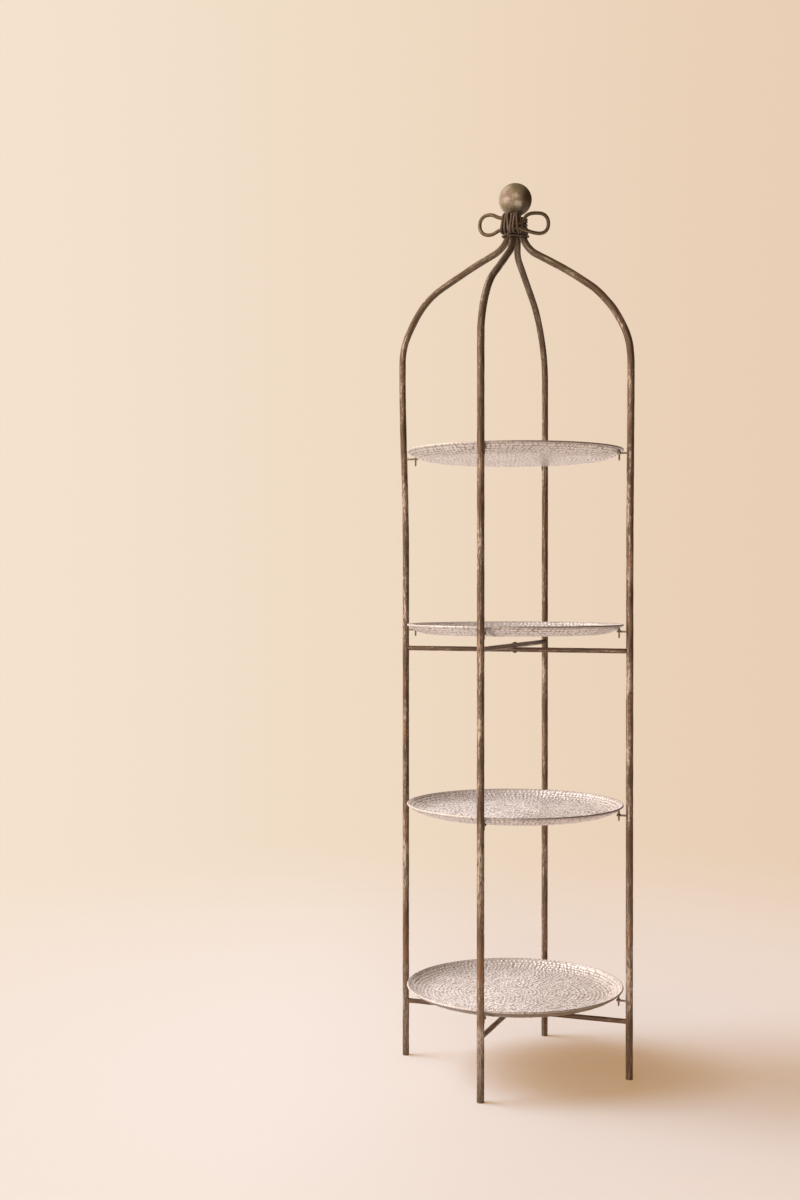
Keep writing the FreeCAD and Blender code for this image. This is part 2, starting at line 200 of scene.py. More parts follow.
class Field:
    """A node's output that takes part in arithmetic; each operation adds a Math node."""

    def __init__(self, nodes, socket):
        self.nodes = nodes
        self.socket = socket

    def maths(self, operation, *values):
        return self.nodes.add("ShaderNodeMath", {"operation": operation},
                              dict(enumerate(values)))[0]

    def __add__(self, other):
        return self.maths("ADD", self, other)

    def __radd__(self, other):
        return self.maths("ADD", other, self)

    def __sub__(self, other):
        return self.maths("SUBTRACT", self, other)

    def __rsub__(self, other):
        return self.maths("SUBTRACT", other, self)

    def __mul__(self, other):
        return self.maths("MULTIPLY", self, other)

    def __rmul__(self, other):
        return self.maths("MULTIPLY", other, self)

    def __truediv__(self, other):
        return self.maths("DIVIDE", self, other)

    def __rtruediv__(self, other):
        return self.maths("DIVIDE", other, self)

    def __pow__(self, other):
        return self.maths("POWER", self, other)

    def __abs__(self):
        return self.maths("ABSOLUTE", self)

    def least(self, other):
        return self.maths("MINIMUM", self, other)

    def most(self, other):
        return self.maths("MAXIMUM", self, other)

    def call(self, operation):
        return self.maths(operation, self)

    def rise(self, low, high):
        """0 below low, 1 above high, smooth between; low may be the larger."""
        return self.nodes.add("ShaderNodeMapRange", {"interpolation_type": "SMOOTHSTEP"},
                              {"Value": self, "From Min": low, "From Max": high})[0]

    def band(self, start, full, wane, end):
        """1 from full to wane, 0 before start and after end."""
        return self.rise(start, full) * (1.0 - self.rise(wane, end))


class Made:
    """A node just added; its outputs are read by name or number."""

    def __init__(self, nodes, node):
        self.nodes = nodes
        self.node = node

    def __getitem__(self, key):
        return Field(self.nodes, self.node.outputs[key])


class Nodes:
    """A node tree that is being built."""

    def __init__(self, tree):
        self.tree = tree

    def add(self, kind, settings=None, sockets=None):
        """Any node: its settings first, then the values or links of its sockets."""
        node = self.tree.nodes.new(kind)
        for name, value in (settings or {}).items():
            setattr(node, name, value)
        for key, value in (sockets or {}).items():
            self.plug(node.inputs[key], value)
        return Made(self, node)

    def plug(self, socket, value):
        """A value, a link, or a list of links."""
        for one in value if isinstance(value, list) else [value]:
            if isinstance(one, Field):
                self.tree.links.new(one.socket, socket)
            else:
                socket.default_value = one

    def mix(self, share, first, second):
        """One colour over another."""
        return self.add("ShaderNodeMix", {"data_type": "RGBA"}, {0: share, 6: first, 7: second})[2]

    def noise(self, place, scale=1.0, detail=3.0, rough=0.6, distortion=0.0):
        return self.add("ShaderNodeTexNoise", {},
                        {"Vector": place, "Scale": scale, "Detail": detail, "Roughness": rough,
                         "Distortion": distortion})["Fac"]

    def vector(self, x, y, z):
        return self.add("ShaderNodeCombineXYZ", {}, {0: x, 1: y, 2: z})[0]

    def parts(self, vector):
        made = self.add("ShaderNodeSeparateXYZ", {}, {0: vector})
        return made[0], made[1], made[2]

    def length(self, vector):
        return self.add("ShaderNodeVectorMath", {"operation": "LENGTH"}, {0: vector})["Value"]

    def chance(self, key):
        """A number from 0 to 1 that belongs to the key, a vector."""
        return self.add("ShaderNodeTexWhiteNoise", {"noise_dimensions": "3D"},
                        {"Vector": key})["Value"]

    def hammer(self, run, angle, floor, mark, wall_mark, seed):
        """Blows laid in rings: how deep the hollow is (0 to 1) and how hard its blow was.

        The run is measured from the middle of the dish along its surface. Rings of the floor gain
        marks outward, and those of the wall all have the same number.
        """
        on_wall = run.maths("GREATER_THAN", run, floor)
        ring_place = run.least(floor) / mark + (run - floor).most(0.0) / wall_mark
        ring = (ring_place + 0.5).call("FLOOR")
        floor_count = (ring * MARKS_ADDED).most(1.0) * (1.0 - on_wall)
        count = floor_count + (on_wall * (floor / wall_mark * WALL_MARKS)).call("FLOOR")
        place = angle / TURN * count + self.chance(self.vector(ring, seed, 0.5)) * count
        order = place.call("FLOOR")
        aside = self.chance(self.vector(order, ring, seed + 0.25)) - 0.5
        above = self.chance(self.vector(order, ring, seed + 0.75)) - 0.5
        across = place - order - 0.5 + aside * MARK_STRAY
        along = ring_place - ring + above * MARK_STRAY
        away = (across * across + along * along) ** 0.5
        hollow = (1.0 - (away / MARK_ROUND) ** 2.0).most(0.0)
        return hollow, self.chance(self.vector(order, ring, seed)) + 0.5


def rgb(r, g, b):
    return (r, g, b, 1.0)


class Finish(Nodes):
    """A material under construction: its shader's fixed values are set as it is made."""

    def __init__(self, name, **fixed):
        self.material = bpy.data.materials.new(name)
        self.material.use_nodes = True
        super().__init__(self.material.node_tree)
        self.shader = self.tree.nodes["Principled BSDF"]
        for socket, value in fixed.items():
            self.shader.inputs[socket.replace("_", " ")].default_value = value

    def place(self):
        return self.add("ShaderNodeTexCoord")["Object"]

    def attribute(self, name, output="Fac"):
        return self.add("ShaderNodeAttribute", {"attribute_name": name})[output]

    def feed(self, **links):
        for socket, value in links.items():
            self.plug(self.shader.inputs[socket.replace("_", " ")], value)

    def bump(self, height, depth, strength):
        bump = self.add("ShaderNodeBump", {},
                        {"Strength": strength, "Distance": depth, "Height": height})
        self.feed(Normal=bump[0])


IRON_RUST = rgb(0.37, 0.185, 0.09)
IRON_WORN = rgb(0.62, 0.55, 0.48)
IRON_NICK = rgb(0.06, 0.035, 0.02)
IRON_DOME = rgb(0.13, 0.095, 0.06)
DOME_DARK = (1.16, 1.36)    # heights between which the rods darken to the neck: an olive tone and painted shade under the ball
FOOT_DARK = (0.13, 0.04)    # and down to the feet
RUSTY_FOOT = (0.10, 0.14, 0.20, 0.29)       # heights on the front leg, over its brace
WORN_FOOT = (0.078, 0.092, 0.108, 0.122)    # and below it
RUST_FADE = (0.25, 1.1)     # heights between which rust thins out a little
FRONT_LEG = (-0.17, -0.18)
IRON_GRAIN = 0.3 * MM


def iron_finish(name, dark, mid, pale, rust, rub, drawn=True, scarred=False):
    """Forged iron: fine streaks along a drawn rod, rubbed stretches, nicks and a little rust."""
    finish = Finish(name, IOR=1.45, Specular_IOR_Level=0.3)
    place = finish.place()
    x, y, height = finish.parts(place)
    side_x, side_y, run = x, y, height
    if drawn:
        run = finish.attribute("along")
        side_x, side_y, _ = finish.parts(finish.attribute("girth_turn", "Vector"))

    def grain(across, along):
        """A place for noise, with so many grains to the metre across and along a drawn rod."""
        return finish.vector(side_x * across, side_y * across, run * (along if drawn else across))

    streak = finish.noise(grain(620, 26), detail=4.0)
    stretch = finish.noise(grain(30, 10))
    fleck = finish.noise(grain(400, 140))
    patch = finish.noise(grain(90, 14), detail=4.0, rough=0.65)
    grit = finish.noise(place, 900.0, detail=2.0)
    tone = finish.mix((streak * 0.65 + stretch * 0.35).rise(0.38, 0.60), dark, mid)
    rubbed = (stretch * 0.4 + streak * 0.35 + fleck * 0.35).rise(0.62 - 0.06 * rub, 0.70 - 0.06 * rub)
    tone = finish.mix(rubbed * 0.8, tone, pale)
    low = 1.0 - height.rise(*RUST_FADE)
    rusty = (patch + fleck * 0.2 + low * 0.05).rise(0.69, 0.82) * rust
    if scarred:
        front = y.rise(*FRONT_LEG)
        streaky = finish.noise(grain(260, 9)).rise(0.42, 0.56)
        rusty = rusty.most(front * height.band(*RUSTY_FOOT) * streaky)
        wear_and_highlight = front * height.band(*WORN_FOOT) * fleck.rise(0.36, 0.52)
        tone = finish.mix(wear_and_highlight * 0.8, tone, IRON_WORN)
    tone = finish.mix(rusty * 0.6, tone, IRON_RUST)
    tone = finish.mix(fleck.rise(0.40, 0.30) * 0.65, tone, IRON_NICK)
    # Darker up to the neck: partly an olive tone, partly painted shade under the ball
    tone = finish.mix(height.rise(*DOME_DARK) * 0.6, tone, IRON_DOME)
    tone = finish.mix(height.rise(*FOOT_DARK) * 0.6, tone, dark)
    finish.feed(Base_Color=tone, Roughness=0.44 - rubbed * 0.12 + rusty * 0.2,
                Metallic=0.65 + rubbed * 0.15 - rusty * 0.4)
    finish.bump(streak * 0.4 + grit * 0.3 + fleck * 0.6, IRON_GRAIN, 0.7)
    return finish.material


SILVER_TONES = rgb(0.92, 0.86, 0.84), rgb(1.0, 0.965, 0.95)
SILVER_RIDGE = rgb(0.27, 0.205, 0.17)
SILVER_RUST = rgb(0.42, 0.24, 0.13)
SILVER_TARNISH_AND_SHADE = rgb(0.24, 0.195, 0.16)
ABOVE_BOTTOM = (0.15, 0.3)      # heights between the bottom tray and the others
SHADED_LIP_SIDE = (-0.12, 0.04)  # distances right of the axis between which lips take painted shade
WALL_START = (-4 * MM, 8 * MM)  # from the floor's edge, between which the wall's look sets in
RIM_TARNISH_AND_SHADE = (8 * MM, 3 * MM)  # from the edge, between which tarnish and painted shade set in underneath
BOTTOM_RIM_SHADE = (22 * MM, 12 * MM)     # how much farther in that is on the bottom tray, as painted shade
SILVER_GRAIN = 0.65 * MM


def tray_finish():
    """Hammered soft-silver sheet: bright hollows, dull ridges, tarnished edges with painted shade,
    and rust specks.
    """
    finish = Finish("hammered_silver", IOR=1.45)
    place = finish.place()
    x, y, z = finish.parts(place)
    run = finish.attribute("out")
    lip = finish.attribute("lip")
    below = finish.attribute("below")
    hollow, blow = finish.hammer(run, y.maths("ARCTAN2", y, x), TRAY_FLOOR, MARK, WALL_MARK,
                                 finish.attribute("seed"))
    wall = run.rise(TRAY_FLOOR + WALL_START[0], TRAY_FLOOR + WALL_START[1])
    cloud = finish.noise(place, 16.0, detail=4.0)
    grain = finish.noise(place, 700.0, detail=2.0)
    speck = finish.noise(place, 120.0, rough=0.7)
    tone = finish.mix(cloud.rise(0.35, 0.7), *SILVER_TONES)
    ridge = (1.0 - hollow).rise(0.5, 1.0)
    dull = ridge * (0.27 + 0.36 * blow) * (1.0 - wall * 0.3 + below * 0.45)
    tone = finish.mix(dull, tone, SILVER_RIDGE)
    rust = (speck + cloud * 0.25 + wall * 0.05).rise(0.80, 0.90)
    tone = finish.mix(rust * 0.6, tone, SILVER_RUST)
    # Painted shade: the bottom tray is darkest underneath by its rim, and lips are darker on their
    # right
    bottom = 1.0 - z.rise(*ABOVE_BOTTOM)
    rim = below * run.rise(*[TRAY_RUN - inset - bottom * more
                             for inset, more in zip(RIM_TARNISH_AND_SHADE, BOTTOM_RIM_SHADE)])
    side = (x * VIEW_RIGHT.x + y * VIEW_RIGHT.y).rise(*SHADED_LIP_SIDE)
    tarnish_and_shade = rim * (0.15 + 0.75 * bottom) + lip * (0.15 + 0.55 * side * (1.0 - bottom * 0.4))
    tone = finish.mix(tarnish_and_shade, tone, SILVER_TARNISH_AND_SHADE)
    finish.feed(Base_Color=tone,
                Metallic=0.68 + wall * 0.05 - rust * 0.3 + lip * 0.1 - ridge * 0.2,
                Roughness=0.27 + grain * 0.12 + wall * 0.04 + lip * 0.1 + rust * 0.2 + ridge * 0.15)
    finish.bump(hollow * blow * (wall * 0.2 - 1.0) + grain * 0.12, SILVER_GRAIN, 0.9)
    return finish.material


BALL_TONES = rgb(0.30, 0.225, 0.19), rgb(0.46, 0.40, 0.26)
BALL_TOP = rgb(0.27, 0.225, 0.115)
BALL_PAINTED_SHADE = rgb(0.11, 0.072, 0.05)
BALL_HIGHLIGHT_TONE = rgb(0.84, 0.78, 0.70)
# Painted highlights: how far right and up from the ball's middle, how large and how bright
BALL_HIGHLIGHT_SPOTS = ((-0.017, -0.005, 0.008, 0.42), (0.002, 0.001, 0.007, 0.6), (0.003, -0.011, 0.007, 0.6))
SPOT_EDGE = (0.014, 0.007)
SPOTS_END = (-0.004, 0.004)     # toward the back, where the painted highlights end
# Where the olive top and the painted shade on the right set in, above the ball's middle and right of
# it
TOP_START = (0.008, 0.026)
PAINTED_SHADE_START = (0.014, 0.024)
BALL_GRAIN = 0.3 * MM


def ball_finish():
    """Patchy olive bronze over a purple-brown ground, with painted shade on its right and painted
    highlights in front.
    """
    finish = Finish("ball_patina", IOR=1.45)
    place = finish.place()
    cloud = finish.noise(place, 38.0, detail=4.0, distortion=0.6)
    second = finish.noise(place, 75.0, detail=4.0, rough=0.65, distortion=0.3)
    ragged = finish.noise(place, 210.0, detail=4.0, rough=0.7)
    grit = finish.noise(place, 900.0, detail=2.0)
    x, y, z = finish.parts(place)
    height = z - (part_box("finial_ball")[1].z - BALL / 2)
    aside = x * VIEW_RIGHT.x + y * VIEW_RIGHT.y
    tone = finish.mix(cloud.rise(0.36, 0.62), *BALL_TONES)
    tone = finish.mix((height + cloud * 0.012).rise(*TOP_START) * 0.75, tone, BALL_TOP)
    # Painted shade: the ball darkens to its right and lower side, away from the light
    shaded = (aside - height * 0.25 + cloud * 0.014).rise(*PAINTED_SHADE_START)
    tone = finish.mix(shaded * 0.85, tone, BALL_PAINTED_SHADE)
    # Painted highlights: pale spots on the ball's front where it catches the light
    front = 1.0 - y.rise(*SPOTS_END)
    for spot_aside, spot_height, size, share in BALL_HIGHLIGHT_SPOTS:
        gap = ((aside - spot_aside) ** 2.0 + (height - spot_height) ** 2.0) ** 0.5
        wear_and_highlight = (gap + ragged * 0.026).rise(size + SPOT_EDGE[0], size + SPOT_EDGE[1]) * front
        tone = finish.mix(wear_and_highlight * share, tone, BALL_HIGHLIGHT_TONE)
    finish.feed(Base_Color=tone, Metallic=0.65 + second * 0.2,
                Roughness=0.44 + grit * 0.1 - second * 0.1)
    finish.bump(second * 0.5 + grit * 0.2, BALL_GRAIN, 0.6)
    return finish.material


PAPER_TONES = rgb(0.475, 0.495, 0.515), rgb(0.495, 0.515, 0.535)
PAPER_LIT_LEFT = rgb(0.55, 0.59, 0.615)
# Painted light: a warm glow over the whole paper that lifts its shadows
PAPER_GLOW = rgb(0.29, 0.15, 0.05)
PAPER_FADE = (0.3, 2.4)     # distances from the axis
PAPER_LIT_SIDE = (-0.1, 0.5)    # and left of it, where painted light makes the paper lighter


def floor_finish():
    """Pale warm paper that fades out into the backdrop far from the object, with painted light:
    lighter to the left, and a warm glow that lifts its shadows.
    """
    finish = Finish("floor_paper", Roughness=0.9, Specular_IOR_Level=0.1, Emission_Strength=1.0,
                    Emission_Color=PAPER_GLOW)
    place = finish.place()
    cloud = finish.noise(place, 1.2, detail=2.0, rough=0.5)
    x, y, _ = finish.parts(place)
    left = (x * -VIEW_RIGHT.x + y * -VIEW_RIGHT.y).rise(*PAPER_LIT_SIDE)
    tone = finish.mix(cloud.rise(0.3, 0.7), *PAPER_TONES)
    tone = finish.mix(left, tone, PAPER_LIT_LEFT)
    finish.feed(Base_Color=tone, Alpha=1.0 - finish.length(place).rise(*PAPER_FADE))
    return finish.material


class Tree(Nodes):
    """A geometry tree with named inputs; shape() runs it and keeps the plain mesh."""

    def __init__(self, name, inputs):
        tree = bpy.data.node_groups.new(name, "GeometryNodeTree")
        super().__init__(tree)
        self.keys = {}
        for label, kind in inputs.items():
            item = tree.interface.new_socket(label, in_out="INPUT", socket_type="NodeSocket" + kind)
            self.keys[label] = item.identifier
        tree.interface.new_socket("Geometry", in_out="OUTPUT", socket_type="NodeSocketGeometry")
        self.given = self.add("NodeGroupInput")

    def keep(self, geometry, name, value, kind="FLOAT"):
        return self.add("GeometryNodeStoreNamedAttribute", {"data_type": kind, "domain": "POINT"},
                        {"Geometry": geometry, "Name": name, "Value": value})[0]

    def recall(self, name, kind="FLOAT"):
        return self.add("GeometryNodeInputNamedAttribute", {"data_type": kind}, {"Name": name})[0]

    def put(self, geometry, **places):
        """Move points to a Position or by an Offset."""
        return self.add("GeometryNodeSetPosition", {}, {"Geometry": geometry, **places})[0]

    def close(self, geometry, finish):
        """The last nodes of every tree."""
        real = self.add("GeometryNodeRealizeInstances", {}, {"Geometry": geometry})[0]
        smooth = self.add("GeometryNodeSetShadeSmooth", {}, {"Geometry": real})[0]
        done = self.add("GeometryNodeSetMaterial", {}, {"Geometry": smooth, "Material": finish})[0]
        self.add("NodeGroupOutput", {}, {"Geometry": done})

    def shape(self, name, mesh, **values):
        maker = bpy.data.objects.new(name + "_maker", mesh)
        bpy.context.scene.collection.objects.link(maker)
        modifier = maker.modifiers.new("tree", "NODES")
        modifier.node_group = self.tree
        for label, value in values.items():
            modifier[self.keys[label.replace("_", " ")]] = value
        scene_state = bpy.context.evaluated_depsgraph_get()
        made = bpy.data.meshes.new_from_object(maker.evaluated_get(scene_state))
        bpy.data.objects.remove(maker)
        made.name = name
        return made


def rod_tree():
    """A rod or wire along a line of edges, with long shallow hammer dents."""
    tree = Tree("forged_rod", {"Line": "Geometry", "Diameter": "Float", "Sides": "Int",
                               "Dent": "Float", "Dent Length": "Float", "Seed": "Float",
                               "Finish": "Material"})
    given = tree.given
    size = given["Diameter"]
    curve = tree.add("GeometryNodeMeshToCurve", {}, {"Mesh": given["Line"]})[0]
    run = tree.add("GeometryNodeSplineParameter")["Length"] + given["Seed"]
    curve = tree.keep(curve, "along", run)
    curve = tree.add("GeometryNodeSetCurveRadius", {},
                     {"Curve": curve, "Radius": tree.recall("girth")})[0]
    section = tree.add("GeometryNodeCurvePrimitiveCircle", {},
                       {"Resolution": given["Sides"], "Radius": size / 2.0})[0]
    where = tree.add("GeometryNodeInputPosition")[0]
    section = tree.keep(section, "girth_turn", where, "FLOAT_VECTOR")
    solid = tree.add("GeometryNodeCurveToMesh", {},
                     {"Curve": curve, "Profile Curve": section, "Fill Caps": True})[0]
    side_x, side_y, _ = tree.parts(tree.recall("girth_turn", "FLOAT_VECTOR"))
    place = tree.vector(side_x / size * DENT_ROUND, side_y / size * DENT_ROUND,
                        tree.recall("along") / given["Dent Length"])
    wave = tree.noise(place, detail=1.5, rough=0.5)
    normal = tree.add("GeometryNodeInputNormal")[0]
    push = tree.add("ShaderNodeVectorMath", {"operation": "SCALE"},
                    {0: normal, "Scale": (wave - 0.5) * 2.0 * given["Dent"]})[0]
    tree.close(tree.put(solid, Offset=push), given["Finish"])
    return tree


def tray_tree():
    """A dish of two hammered faces and a rounded lip, on a grid whose rings are true circles."""
    tree = Tree("hammered_dish", {"Height": "Float", "Floor": "Float", "Wall": "Float",
                                  "Turn": "Float", "Sheet": "Float", "Rings": "Int",
                                  "Mark": "Float", "Wall Mark": "Float", "Depth": "Float",
                                  "Seed": "Float", "Finish": "Material"})
    given = tree.given
    floor, wall, sheet, rings = given["Floor"], given["Wall"], given["Sheet"], given["Rings"]
    where = tree.add("GeometryNodeInputPosition")[0]
    x, y, _ = tree.parts(where)
    edge = floor + (wall * given["Turn"] - sheet * 0.5)

    # The flat disc: a square grid drawn out so that each of its squares becomes a ring. Of the two
    # tilts one is used at each point, and the 4.0 keeps the other from a division by zero.
    grid = tree.add("GeometryNodeMeshGrid", {},
                    {"Size X": 2.0, "Size Y": 2.0, "Vertices X": rings * 2.0 + 1.0,
                     "Vertices Y": rings * 2.0 + 1.0})[0]
    across = abs(x).maths("GREATER_THAN", abs(x), abs(y))
    along = 1.0 - across
    tilt_x = y / (x + along * 4.0) * (TURN / 8)
    tilt_y = x / (y + across * 4.0) * (TURN / 8)
    run = abs(x).most(abs(y)) * edge
    way_x, way_y = across * x.call("SIGN"), along * y.call("SIGN")
    head_x = way_x * tilt_x.call("COSINE") + way_y * tilt_y.call("SINE")
    head_y = way_x * tilt_x.call("SINE") + way_y * tilt_y.call("COSINE")
    flat = tree.put(grid, Position=tree.vector(head_x * run, head_y * run, 0.0))

    # Hammer marks
    length = tree.length(where)
    fade = 1.0 - length.rise(edge - PLAIN_EDGE[0], edge - PLAIN_EDGE[1])
    hollow, blow = tree.hammer(length, y.maths("ARCTAN2", y, x), floor, given["Mark"],
                               given["Wall Mark"], given["Seed"])
    flat = tree.keep(flat, "dent", hollow * blow * fade)
    flat = tree.keep(flat, "out", length)
    dent = tree.recall("dent") * given["Depth"]

    def bent(cos, sin, out, lift, beyond=None):
        """Floor and wall at a lift above the underside."""
        turn = ((out - floor) / wall).most(0.0)
        radius = out.least(floor) + (wall - lift) * turn.call("SINE")
        height = given["Height"] + wall - (wall - lift) * turn.call("COSINE")
        if beyond is not None:
            radius = radius + beyond * turn.call("COSINE")
            height = height + beyond * turn.call("SINE")
        return tree.vector(cos * radius, sin * radius, height)

    out = tree.recall("out")
    unit = out.most(0.001 * MM)
    upper = tree.put(flat, Position=bent(x / unit, y / unit, out, sheet - dent))
    under = tree.put(flat, Position=bent(x / unit, y / unit, out, dent * -UNDER_DEPTH))
    under = tree.add("GeometryNodeFlipFaces", {}, {"Mesh": under})[0]
    under = tree.keep(under, "below", 1.0)

    # The lip: a half-round edge whose points meet those of the two faces
    strip = tree.add("GeometryNodeMeshGrid", {},
                     {"Size X": 1.0, "Size Y": 1.0, "Vertices X": rings * 8.0 + 1.0,
                      "Vertices Y": LIP_STEPS})[0]
    angle = (x + 0.5) * TURN
    half = (y + 0.5) * (TURN / 2)
    swell = half.call("COSINE") * (0.5 + LIP_SWELL * half.call("SINE"))
    strip = tree.put(strip, Position=bent(angle.call("COSINE"), angle.call("SINE"), edge,
                                          sheet * 0.5 + sheet * swell,
                                          sheet * LIP_REACH * half.call("SINE")))
    strip = tree.keep(strip, "lip", 1.0)
    strip = tree.keep(strip, "out", edge)
    strip = tree.add("GeometryNodeFlipFaces", {}, {"Mesh": strip})[0]
    dish = tree.add("GeometryNodeJoinGeometry", {}, {0: [upper, under, strip]})[0]
    dish = tree.add("GeometryNodeMergeByDistance", {}, {"Geometry": dish, "Distance": LIP_SEAM})[0]
    dish = tree.keep(dish, "seed", given["Seed"])
    tree.close(dish, given["Finish"])
    return tree


def round_tree():
    """Copies of one piece set evenly round the upright axis."""
    tree = Tree("set_round", {"Piece": "Geometry", "Count": "Int", "Finish": "Material"})
    given = tree.given
    index = tree.add("GeometryNodeInputIndex")[0]
    points = tree.add("GeometryNodePoints", {}, {"Count": given["Count"]})[0]
    spin = tree.vector(0.0, 0.0, index * TURN / given["Count"])
    copies = tree.add("GeometryNodeInstanceOnPoints", {},
                      {"Points": points, "Instance": given["Piece"], "Rotation": spin})[0]
    tree.close(copies, given["Finish"])
    return tree


def distances(points):
    """How far along its line each point lies."""
    steps = np.linalg.norm(np.diff(points, axis=0), axis=1)
    return np.concatenate([[0.0], np.cumsum(steps)])


def line_mesh(points, ease=0.0):
    """A line of edges with the girth that its rod has at each point; the ends are eased."""
    points = np.asarray(points, float)
    girth = np.ones(len(points))
    if ease:
        run = distances(points)
        end = np.minimum(run, run[-1] - run)
        girth = 1 - END_LOSS * np.clip(1 - end / ease, 0, 1) ** 2
    mesh = bpy.data.meshes.new("line")
    edges = [(index, index + 1) for index in range(len(points) - 1)]
    mesh.from_pydata([tuple(point) for point in points], edges, [])
    attribute = mesh.attributes.new("girth", "FLOAT", "POINT")
    attribute.data.foreach_set("value", girth.astype(np.float32))
    return mesh


def even(points, step):
    """Points at an even spacing along a line, with two close ones at each end."""
    points = np.asarray(points, float)
    run = distances(points)
    whole = run[-1]
    at = np.linspace(0, whole, max(3, int(round(whole / step)) + 1))
    ends = [ROD_EASE / 2, ROD_EASE, whole - ROD_EASE, whole - ROD_EASE / 2]
    at = np.unique(np.concatenate([at, ends]))
    return np.stack([np.interp(at, run, points[:, k]) for k in range(3)], axis=1)


def turned(points, degrees):
    """Points turned about the upright axis."""
    angle = math.radians(degrees)
    cos, sin = math.cos(angle), math.sin(angle)
    x, y, z = np.asarray(points, float).T
    return np.stack([x * cos - y * sin, x * sin + y * cos, z], axis=1)


def leg_line():
    """The centre line of the right-hand leg, from the floor to the neck."""
    bend = np.linspace(0, LEAN, BEND_STEPS)
    back = bend[::-1]
    radius = np.concatenate([[LEG_CIRCLE], LEG_CIRCLE - DOME_BEND * (1 - np.cos(bend)),
                             NECK_CIRCLE + NECK_BEND * (1 - np.cos(back)), [NECK_CIRCLE]])
    height = np.concatenate([[0.0], SHOULDER_Z + DOME_BEND * np.sin(bend),
                             NECK_Z - NECK_BEND * np.sin(back), [ROD_TOP]])
    return np.stack([radius, np.zeros(len(radius)), height], axis=1)


def ramp(values, low, high):
    share = np.clip((values - low) / (high - low), 0, 1)
    return share * share * (3 - 2 * share)


def hand_bent(points, bends):
    """Push a leg out, square to its own run, and aside over stretches of its height."""
    way = np.gradient(points, axis=0)
    way /= np.linalg.norm(way, axis=1)[:, None]
    height = points[:, 2]
    outward = np.stack([way[:, 2], 0 * height, -way[:, 0]], axis=1)
    moved = points.copy()
    for out, aside, start, full, wane, end in bends:
        share = ramp(height, start, full) * (1 - ramp(height, wane, end))
        moved += share[:, None] * (out * outward + np.array([0, aside, 0]))
    return moved


def seed(kind, number):
    first, step = SEEDS[kind]
    return first + step * number


def add_piece(name, mesh, body, slot, *nodes):
    piece = bpy.data.objects.new(name, mesh)
    bpy.context.scene.collection.objects.link(piece)
    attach(piece, body)
    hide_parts(*nodes)


def plain_mesh(name, build):
    """A mesh made by a function that fills a bmesh."""
    shape = bmesh.new()
    build(shape)
    bmesh.ops.recalc_face_normals(shape, faces=shape.faces)
    mesh = bpy.data.meshes.new(name)
    shape.to_mesh(mesh)
    shape.free()
    return mesh


# Irons: dark, middle and rubbed tones, how rusty and how rubbed
IRON = iron_finish("aged_iron", rgb(0.135, 0.088, 0.055), rgb(0.29, 0.213, 0.163),
                   rgb(0.66, 0.56, 0.48), 1.0, 1.0, scarred=True)
BRACE_IRON = iron_finish("brace_iron", rgb(0.12, 0.078, 0.052), rgb(0.24, 0.17, 0.125),
                         rgb(0.50, 0.41, 0.345), 0.3, 0.7)
WIRE = iron_finish("neck_wire", rgb(0.10, 0.07, 0.058), rgb(0.215, 0.157, 0.142),
                   rgb(0.50, 0.41, 0.37), 0.0, 0.6)
BOW_IRON = iron_finish("bow_wire", rgb(0.14, 0.095, 0.058), rgb(0.30, 0.22, 0.145),
                       rgb(0.62, 0.51, 0.38), 0.2, 0.9)
FITTING = iron_finish("iron_fittings", rgb(0.18, 0.13, 0.10), rgb(0.33, 0.255, 0.205),
                      rgb(0.60, 0.51, 0.44), 0.3, 0.6, drawn=False)
SILVER = tray_finish()
PATINA = ball_finish()

ROD = rod_tree()
DISH = tray_tree()
ROUND = round_tree()

# Legs
LEG_LINE = even(leg_line(), LEG_STEP)
for number, (leg, degrees) in enumerate(LEGS.items()):
    run = turned(hand_bent(LEG_LINE, HAND_BENDS[leg]), degrees)
    mesh = ROD.shape("leg_" + leg, line_mesh(run, ROD_EASE), Diameter=LEG_ROD * LEG_GIRTH[leg],
                     Seed=seed("leg", number), Finish=IRON, **LEG_FORGING)
    add_piece("forged_leg_" + leg, mesh, "frame", "aged_iron", "leg_" + leg)

# Trays
for number, tier in enumerate(TIERS):
    mesh = DISH.shape("tray", bpy.data.meshes.new("empty"), Height=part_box("tray_" + tier)[0].z,
                      Floor=TRAY_FLOOR, Wall=TRAY_WALL, Turn=TRAY_TURN, Sheet=TRAY_SHEET,
                      Rings=TRAY_RINGS, Mark=MARK, Wall_Mark=WALL_MARK, Depth=MARK_DEPTH,
                      Seed=seed("tray", number), Finish=SILVER)
    add_piece("hammered_tray_" + tier, mesh, tier + "_tray", "hammered_tray", "tray_" + tier)


# Cross braces: two rods lapped flat where they cross
def lapped(mesh, height):
    """Press a rod flat above and below where it crosses the other one."""
    reach = BRACE_ROD / 2 - LAP_FLAT
    for vertex in mesh.vertices:
        if math.hypot(vertex.co.x, vertex.co.y) < LAP_LENGTH / 2:
            vertex.co.z = height + min(max(vertex.co.z - height, -reach), reach)
    return mesh


for level in ("middle", "base"):
    for number, way in enumerate(("across", "through")):
        node = level + "_brace_" + way
        low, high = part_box(node)
        height = (low.z + high.z) / 2
        reach = (high - low)[number] / 2
        run = turned([(-reach, 0, height), (reach, 0, height)], 90 * number)
        mesh = ROD.shape(node, line_mesh(even(run, BRACE_STEP)), Diameter=BRACE_ROD,
                         Seed=seed("brace", number) + height, Finish=BRACE_IRON, **BRACE_FORGING)
        add_piece("forged_" + node, lapped(mesh, height), "frame", "aged_iron", node)


